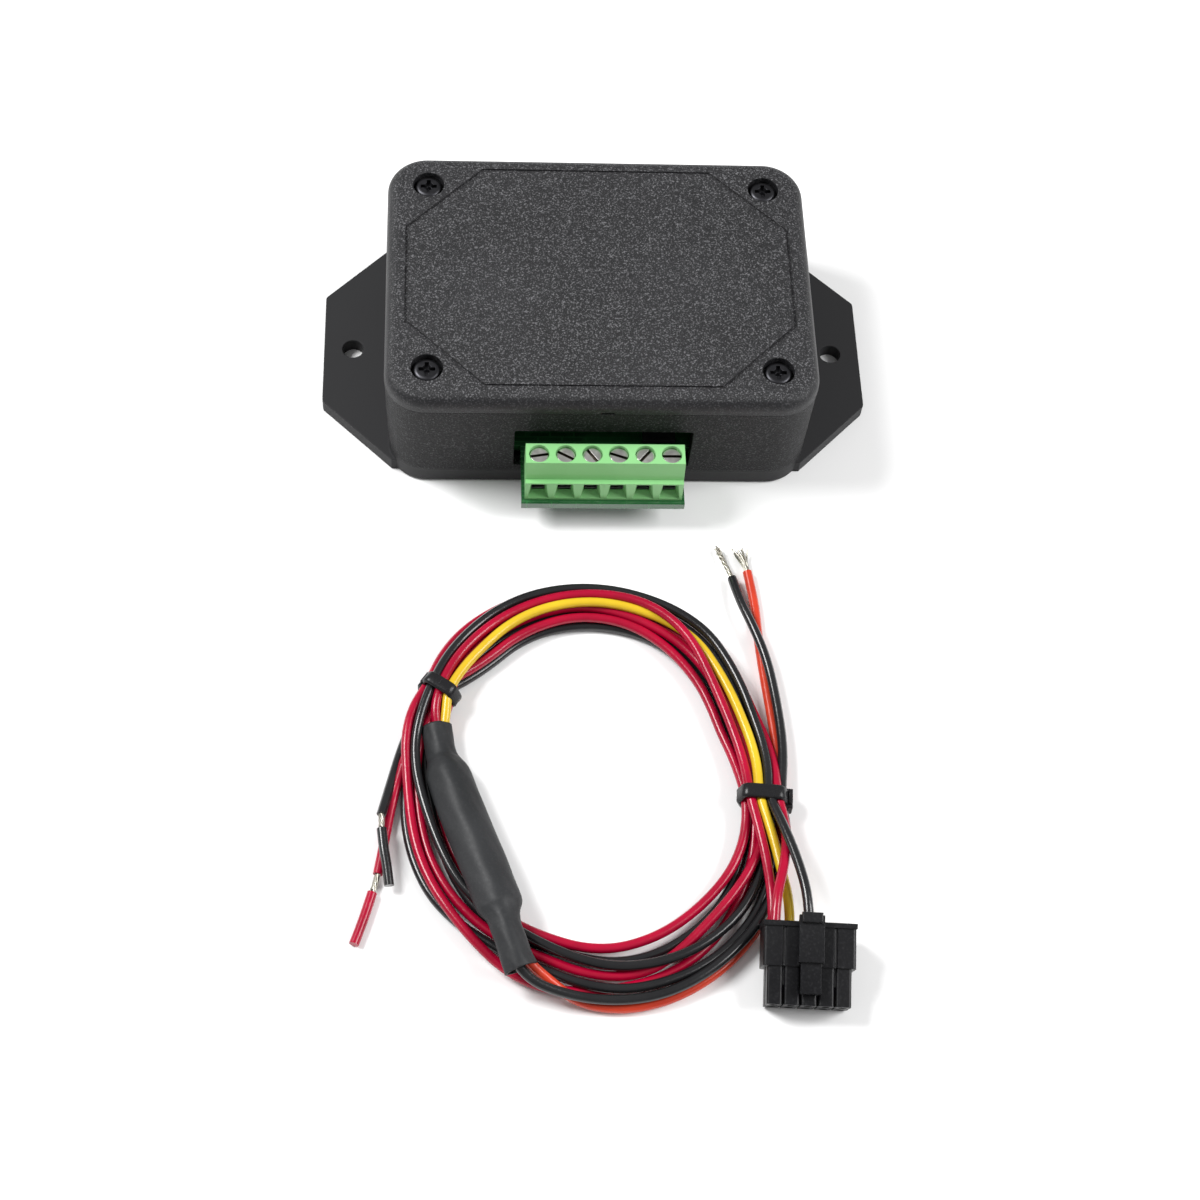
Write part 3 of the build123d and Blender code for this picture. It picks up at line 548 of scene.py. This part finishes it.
def coil_route(name):
    """A wire's whole route in mm: its lead, its turns section by section, and its tail."""
    stations = wire_passes[name]
    first = math.ceil((stations[0][0] - FIRST) / STEP)
    last = math.floor((stations[-1][0] - FIRST) / STEP)
    turns = []
    for k in range(first, last + 1):
        radians = math.radians(FIRST + STEP * k)
        distance, height = interpolate(stations, FIRST + STEP * k)
        turns.append((COIL_X + distance * math.cos(radians),
                      COIL_Y + distance * math.sin(radians), height))
    return lead_in[name] + turns + lead_out[name]


SETTLE_ROUNDS = 260
SPACING = 2 * WIRE + 0.02  # between the middles of two wires that touch
OWN_REACH = 7  # points along its own wire that a point may come close to
PUSH = 0.22  # share of an overlap that a point moves by in one round
SMOOTHING = 0.14  # pull towards the middle of a point's neighbours
RETURN = 0.004  # pull back to the drawn route


def settle(routes):
    """Push the wires apart until they lie beside and on each other.

    The ends, the points next to them and the points in the ties stay.
    """
    points = np.array([p for route in routes.values() for p in route])
    wire = np.array([i for i, route in enumerate(routes.values()) for _ in route])
    start = np.flatnonzero(wire[:-1] == wire[1:])
    inner = start[:-1][np.diff(start) == 1] + 1
    ends = set(range(len(points))) - set(inner)
    near_ends = {j for i in ends for j in (i - 1, i + 1)
                 if 0 <= j < len(points) and wire[j] == wire[i]}
    ground = np.array([lowest(p) for p in points])
    tied = set(np.flatnonzero(ground > ON_STRAP))
    held = np.array(sorted(ends | near_ends | tied))
    target = points.copy()
    index = np.arange(len(points))
    own = (wire[:, None] == wire[start][None]) & (abs(index[:, None] - start[None]) < OWN_REACH)
    for _ in range(SETTLE_ROUNDS):
        a, run = points[start], points[start + 1] - points[start]
        t = ((points[:, None] - a[None]) * run[None]).sum(2) / (run**2).sum(1)
        t = np.clip(t, 0, 1)
        gap = points[:, None] - (a[None] + t[..., None] * run[None])
        distance = np.maximum(np.linalg.norm(gap, axis=2), 1e-6)
        depth = np.where(own, 0, np.maximum(0, SPACING - distance))
        push = gap / distance[..., None] * depth[..., None] * PUSH
        move = push.sum(1)
        # The run that a point is pushed off gives way by half as much.
        np.add.at(move, start, -(push * (1 - t[..., None])).sum(0) * 0.5)
        np.add.at(move, start + 1, -(push * t[..., None]).sum(0) * 0.5)
        points += move
        moved = points - target
        points[inner] += SMOOTHING * (moved[inner - 1] + moved[inner + 1] - 2 * moved[inner])
        points -= RETURN * (points - target)
        points[:, 2] = np.maximum(points[:, 2], ground)
        points[held] = target[held]
    return {name: [tuple(p) for p in points[wire == i].tolist()] for i, name in enumerate(routes)}


def new_piece(name, data):
    piece = bpy.data.objects.new(name, data)
    bpy.context.scene.collection.objects.link(piece)
    return piece


def mesh_piece(name, mesh, material):
    """A smooth-shaded object made from a bmesh."""
    bmesh.ops.recalc_face_normals(mesh, faces=mesh.faces)
    data = bpy.data.meshes.new(name)
    mesh.to_mesh(data)
    mesh.free()
    data.polygons.foreach_set("use_smooth", [True] * len(data.polygons))
    data.materials.append(material)
    return new_piece(name, data)


def round_curve(name, radius, around, along):
    """An empty curve with a round section; around and along are its resolutions."""
    curve = bpy.data.curves.new(name, "CURVE")
    curve.dimensions = "3D"
    curve.bevel_depth = radius * MM
    curve.bevel_resolution = around
    curve.use_fill_caps = True
    curve.resolution_u = along
    return curve


def nurbs_wire(name, points, material):
    """A round wire along one smooth open spline with the points as its control points."""
    curve = round_curve(name, WIRE, 5, 5)
    spline = curve.splines.new("NURBS")
    spline.points.add(len(points) - 1)
    for point, (x, y, z) in zip(spline.points, points):
        point.co = (x * MM, y * MM, z * MM, 1)
    spline.order_u = 3
    spline.use_endpoint_u = True
    spline.use_smooth = True
    curve.materials.append(material)
    return new_piece(name, curve)


wire_data = {
    "yellow": (yellow_pvc, "wire_yellow", ["plug_lead_yellow", "wire_coil"]),
    "crimson_fused": (red_pvc, "wire_red", ["plug_lead_red_lower", "wire_coil"]),
    "crimson": (red_pvc, "wire_red", ["plug_lead_red_upper", "tail_lead_red", "wire_coil"]),
    "black": (black_pvc, "wire_black", ["plug_lead_black", "tail_lead_black", "wire_coil"]),
    "feed_black": (black_pvc, "wire_black", ["feed_lead_black", "wire_coil"]),
    "feed_orange": (orange_pvc, "wire_orange", ["feed_lead_orange", "wire_coil"]),
}
routes = settle({name: coil_route(name) for name in wire_data})
for name, (material, slot, replaced) in wire_data.items():
    wire = nurbs_wire("wire_" + name, routes[name], material)
    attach(wire, "harness")
    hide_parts(*replaced)


# ------------------------------------------------------------------ bare ends
STRAND = 0.17  # radius
STRAND_RING = 0.38  # distance of the outer strands from the bundle's middle
STRAND_STEPS = 7
STRAND_TUCK = 0.8  # how far the strands reach into the insulation


def strand_bundle(name, start, end, count, spread, twist):
    """Tinned strands that leave the insulation together, wind round each other and fan out."""
    start, end = Vector(start), Vector(end)
    along = (end - start).normalized()
    side = along.cross(Vector((0, 0, 1))).normalized()
    up = side.cross(along)
    curve = round_curve(name, STRAND, 2, 4)
    for i in range(count):
        ring = 0.0 if i == 0 else STRAND_RING
        phase = 2 * math.pi * i / max(1, count - 1)
        shorten = 0.82 + 0.18 * ((i * 7) % 5) / 4
        spline = curve.splines.new("NURBS")
        spline.points.add(STRAND_STEPS)
        for j, point in enumerate(spline.points):
            t = j / STRAND_STEPS
            angle = phase + twist * t * 2 * math.pi
            reach = ring * (1 + spread * t * t * (0.6 + 0.5 * math.sin(3.1 * i + 1)))
            place = start + (end - start) * (t * shorten) - along * STRAND_TUCK * (1 - t)
            place += side * reach * math.cos(angle) + up * reach * math.sin(angle) * 0.8
            point.co = (place.x * MM, place.y * MM, max(place.z, STRAND + 0.02) * MM, 1)
        spline.order_u = 3
        spline.use_endpoint_u = True
    curve.materials.append(strand_tin)
    piece = new_piece(name, curve)
    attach(piece, "harness")
    return piece


strands = {
    "feed_black": strand_bundle("strands_feed_black", (25.5, -53.0, 1.5), (22.9, -45.6, 1.0),
                                count=11, spread=0.5, twist=1.6),
    "feed_orange": strand_bundle("strands_feed_orange", (28.6, -51.4, 1.2), (27.3, -46.0, 1.0),
                                 count=11, spread=3.2, twist=0.25),
    "black": strand_bundle("strands_tail_black", (-41.1, -103.7, 2.9), (-41.0, -106.9, 3.3),
                           count=8, spread=0.1, twist=0.5),
    "crimson": strand_bundle("strands_tail_red", (-41.6, -114.5, 0.95), (-42.5, -118.2, 0.95),
                             count=8, spread=0.1, twist=0.5),
}
for key, node in (("feed_black", "feed_strands"), ("feed_orange", "feed_strands"),
                  ("black", "tail_strands"), ("crimson", "tail_strands")):
    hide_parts(node)


def insulation_slug(name, points, material, node):
    """A short piece of insulation left on the end of a bared tail."""
    slug = nurbs_wire(name, points, material)
    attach(slug, "harness")
    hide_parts(node)
    return slug


slug_black = insulation_slug(
    "slug_black",
    [(-41.0, -106.6, 3.3), (-40.6, -110.2, 3.0), (-39.9, -113.8, 2.5), (-39.5, -117.1, 2.0)],
    black_pvc, "insulation_slug_black")
slug_red = insulation_slug(
    "slug_red",
    [(-42.5, -118.0, 0.95), (-43.4, -121.2, 0.95), (-44.4, -124.5, 0.95), (-45.5, -127.7, 0.95)],
    red_pvc, "insulation_slug_red")


# ------------------------------------------------------------------ cable ties
def hull(points):
    """Convex outline of flat points, anticlockwise."""
    points = sorted(points)

    def half(sequence):
        chain = []
        for p in sequence:
            while len(chain) > 1 and ((chain[-1][0] - chain[-2][0]) * (p[1] - chain[-2][1])
                                      - (chain[-1][1] - chain[-2][1]) * (p[0] - chain[-2][0])) <= 0:
                chain.pop()
            chain.append(p)
        return chain[:-1]

    return half(points) + half(reversed(points))


def band_outline(centres, offset, steps=10):
    """The outline at a distance round a group of wires, with its corners rounded by arcs."""
    corners = hull(centres)
    outline = []
    count = len(corners)
    for i, (x, y) in enumerate(corners):
        (px, py), (nx, ny) = corners[i - 1], corners[(i + 1) % count]
        start = math.atan2(y - py, x - px) - math.pi / 2
        end = math.atan2(ny - y, nx - x) - math.pi / 2
        while end < start:
            end += 2 * math.pi
        for j in range(steps + 1):
            angle = start + (end - start) * j / steps
            outline.append((x + offset * math.cos(angle), y + offset * math.sin(angle)))
    return outline


STRAP_INSIDE, STRAP_OUTSIDE = WIRE + 0.04, WIRE + 0.78  # from the middles of the outer wires
STRAP_EDGE = 0.22  # rounding of the strap's outer edges
HEAD_HEIGHT = 2.6  # of the ratchet head's middle above the floor


def cable_tie(name, node, angle, width):
    """A nylon strap drawn round the bundle, with its ratchet head on the outer side."""
    radians = math.radians(angle)
    radial = Vector((math.cos(radians), math.sin(radians), 0))
    along = Vector((-radial.y, radial.x, 0))
    middle = Vector((COIL_X, COIL_Y, 0))
    centres = set()
    for route in routes.values():
        for start, end in zip(route, route[1:]):
            a, b = Vector(start) - middle, Vector(end) - middle
            if a.dot(along) * b.dot(along) < 0 and a.dot(radial) > 0:
                hit = a.lerp(b, a.dot(along) / (a - b).dot(along))
                centres.add((hit.dot(radial), hit.z))
    inner = band_outline(centres, STRAP_INSIDE)
    outer = band_outline(centres, STRAP_OUTSIDE)

    def place(distance, height, shift):
        return (middle + radial * distance + along * shift + Vector((0, 0, height))) * MM

    mesh = bmesh.new()
    rings = []
    half = width / 2
    # The strap's section: share of its thickness, and shift along the bundle.
    profile = [(0.0, -half + 0.1), (0.0, half - 0.1), (0.35, half), (0.8, half - STRAP_EDGE),
               (1.0, half - 2 * STRAP_EDGE), (0.93, 0.0), (1.0, -half + 2 * STRAP_EDGE),
               (0.8, -half + STRAP_EDGE), (0.35, -half)]
    for (ix, iy), (ox, oy) in zip(inner, outer):
        ring = []
        for share, shift in profile:
            x, z = ix + (ox - ix) * share, iy + (oy - iy) * share
            ring.append(mesh.verts.new(place(x, max(z, 0.02), shift)))
        rings.append(ring)
    for a, b in zip(rings, rings[1:] + rings[:1]):
        for i in range(len(profile)):
            j = (i + 1) % len(profile)
            mesh.faces.new((a[i], b[i], b[j], a[j]))
    far = max(x for x, z in outer)
    head = bmesh.ops.create_cube(mesh, size=1.0)["verts"]
    for v in head:
        v.co = place(far - 0.35 + v.co.x * 1.7, HEAD_HEIGHT + v.co.z * 2.6, v.co.y * (width + 0.9))
    tail = bmesh.ops.create_cube(mesh, size=1.0)["verts"]
    for v in tail:
        v.co = place(far + 0.05 + v.co.x * 0.7, HEAD_HEIGHT + 1.5 + v.co.z * 1.2,
                     v.co.y * (width - 0.4))
    piece = mesh_piece(name, mesh, tie_black)
    rounding = piece.modifiers.new("rounding", "BEVEL")
    rounding.width, rounding.segments, rounding.limit_method = 0.00025, 3, "ANGLE"
    rounding.angle_limit = math.radians(50)
    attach(piece, "harness")
    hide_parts(node)


cable_tie("tie_right", "cable_tie_right", TIE_RIGHT, 2.9)
cable_tie("tie_left", "cable_tie_left", TIE_LEFT, 2.7)


# ------------------------------------------------------------------ heat-shrunk sleeve
# Centre, half width and half height in mm, from the upper end to the lower.
sleeve_stations = [
    ((-31.4, -86.2, 3.2), 2.75, 2.3), ((-31.1, -88.2, 3.2), 2.70, 2.25),
    ((-30.7, -90.6, 3.2), 2.65, 2.25), ((-30.2, -92.8, 3.3), 2.80, 2.35),
    ((-29.8, -94.2, 3.5), 3.30, 2.8), ((-29.3, -95.8, 3.7), 3.80, 3.2),
    ((-28.5, -98.2, 3.9), 3.95, 3.3), ((-27.4, -101.6, 4.2), 4.00, 3.3),
    ((-26.0, -105.8, 4.5), 4.05, 3.35), ((-24.4, -110.2, 4.9), 4.05, 3.35),
    ((-22.9, -114.4, 5.3), 4.05, 3.35), ((-21.6, -118.2, 5.6), 4.0, 3.3),
    ((-20.6, -121.2, 6.0), 4.0, 3.3), ((-20.1, -122.9, 6.3), 3.9, 3.15),
    ((-19.8, -124.1, 6.5), 3.35, 2.75), ((-19.5, -125.3, 6.7), 2.85, 2.4),
    ((-19.0, -127.2, 6.8), 2.65, 2.3), ((-18.2, -129.6, 6.7), 2.65, 2.25),
    ((-17.5, -131.8, 6.5), 2.70, 2.25), ((-16.9, -133.4, 6.3), 2.80, 2.2),
    ((-16.5, -134.4, 6.15), 2.9, 2.15),
]


SLEEVE_WALL = 0.45
AROUND = 56  # points round the sleeve
BETWEEN = 5  # rings from one station to the next
INSIDE_RINGS = 3 * BETWEEN  # how far the sleeve's inner wall is modelled from each end
RIPPLE = 0.05


def sleeve_mesh(stations):
    """A shrunk tube with shoulders, slight ripples and open, slightly flared ends."""
    values = [np.array([*centre, width, height]) for centre, width, height in stations]
    samples = []
    for i in range(len(values) - 1):
        p0, p1 = values[max(0, i - 1)], values[i]
        p2, p3 = values[i + 1], values[min(len(values) - 1, i + 2)]
        for j in range(BETWEEN):
            t = j / BETWEEN
            samples.append(0.5 * (2 * p1 + (p2 - p0) * t + (2 * p0 - 5 * p1 + 4 * p2 - p3) * t * t
                                  + (3 * p1 - p0 - 3 * p2 + p3) * t**3))
    samples.append(values[-1])
    mesh = bmesh.new()

    def ring_at(sample, along, shrink, seed):
        """One ring of the outer wall, or of the inner one when shrink is the wall's thickness."""
        side = Vector((0, 0, 1)).cross(along).normalized()
        up = along.cross(side)
        ring = []
        for k in range(AROUND):
            angle = 2 * math.pi * k / AROUND
            flat = 1.0 + 0.05 * math.cos(4 * angle)
            ripple = RIPPLE * math.sin(5 * angle + 0.31 * seed) * math.sin(0.23 * seed + 2 * angle)
            reach_w = (sample[3] - shrink) * flat + ripple
            reach_h = (sample[4] - shrink) * flat + ripple
            place = Vector(sample[:3])
            place = place + side * reach_w * math.cos(angle) + up * reach_h * math.sin(angle)
            ring.append(mesh.verts.new(place * MM))
        return ring

    count = len(samples)
    tangents = []
    for i in range(count):
        a, b = samples[max(0, i - 1)], samples[min(count - 1, i + 1)]
        tangents.append((Vector(b[:3]) - Vector(a[:3])).normalized())
    rings = [ring_at(samples[i], tangents[i], SLEEVE_WALL, i) for i in range(INSIDE_RINGS, -1, -1)]
    rings += [ring_at(samples[i], tangents[i], 0.0, i) for i in range(count)]
    rings += [ring_at(samples[i], tangents[i], SLEEVE_WALL, i)
              for i in range(count - 1, count - 1 - INSIDE_RINGS, -1)]
    for a, b in zip(rings, rings[1:]):
        for k in range(AROUND):
            n = (k + 1) % AROUND
            mesh.faces.new((a[k], a[n], b[n], b[k]))
    return mesh


sleeve = mesh_piece("sleeve", sleeve_mesh(sleeve_stations), shrink_black)
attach(sleeve, "harness")
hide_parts("heat_shrink_sleeve")

# ------------------------------------------------------------------ floor and light
floor_material = new_material("floor_white", Roughness=0.9, Specular_IOR_Level=0.1)
join(floor_material, ramp(floor_material, noise(floor_material, 3.0, 2.0), (0.3, 0.86), (0.7, 0.88)),
     shader_of(floor_material).inputs["Base Color"])
floor_mesh = bpy.data.meshes.new("floor")
floor_mesh.from_pydata([(-4, -4, 0), (4, -4, 0), (4, 4, 0), (-4, 4, 0)], [], [(0, 1, 2, 3)])
floor_mesh.materials.append(floor_material)
floor = new_piece("floor", floor_mesh)
floor.location.z = -0.0001

world = bpy.data.worlds.new("studio")
world.use_nodes = True
world.node_tree.nodes["Background"].inputs["Color"].default_value = (1.0, 1.0, 1.0, 1)
world.node_tree.nodes["Background"].inputs["Strength"].default_value = 0.36
bpy.context.scene.world = world


def softbox(name, place, aim, size, power):
    light = bpy.data.lights.new(name, "AREA")
    light.shape = "RECTANGLE"
    light.size, light.size_y = size
    light.energy = power
    lamp = bpy.data.objects.new(name, light)
    lamp.location = place
    lamp.rotation_euler = (Vector(aim) - Vector(place)).to_track_quat("-Z", "Y").to_euler()
    bpy.context.scene.collection.objects.link(lamp)


softbox("key", (-0.5, 0.1, 0.62), (0, -0.06, 0), (0.3, 0.3), 7.5)
softbox("fill", (0.6, -0.12, 0.55), (0, -0.06, 0), (0.4, 0.4), 6.0)
bpy.context.scene.view_settings.view_transform = "Standard"
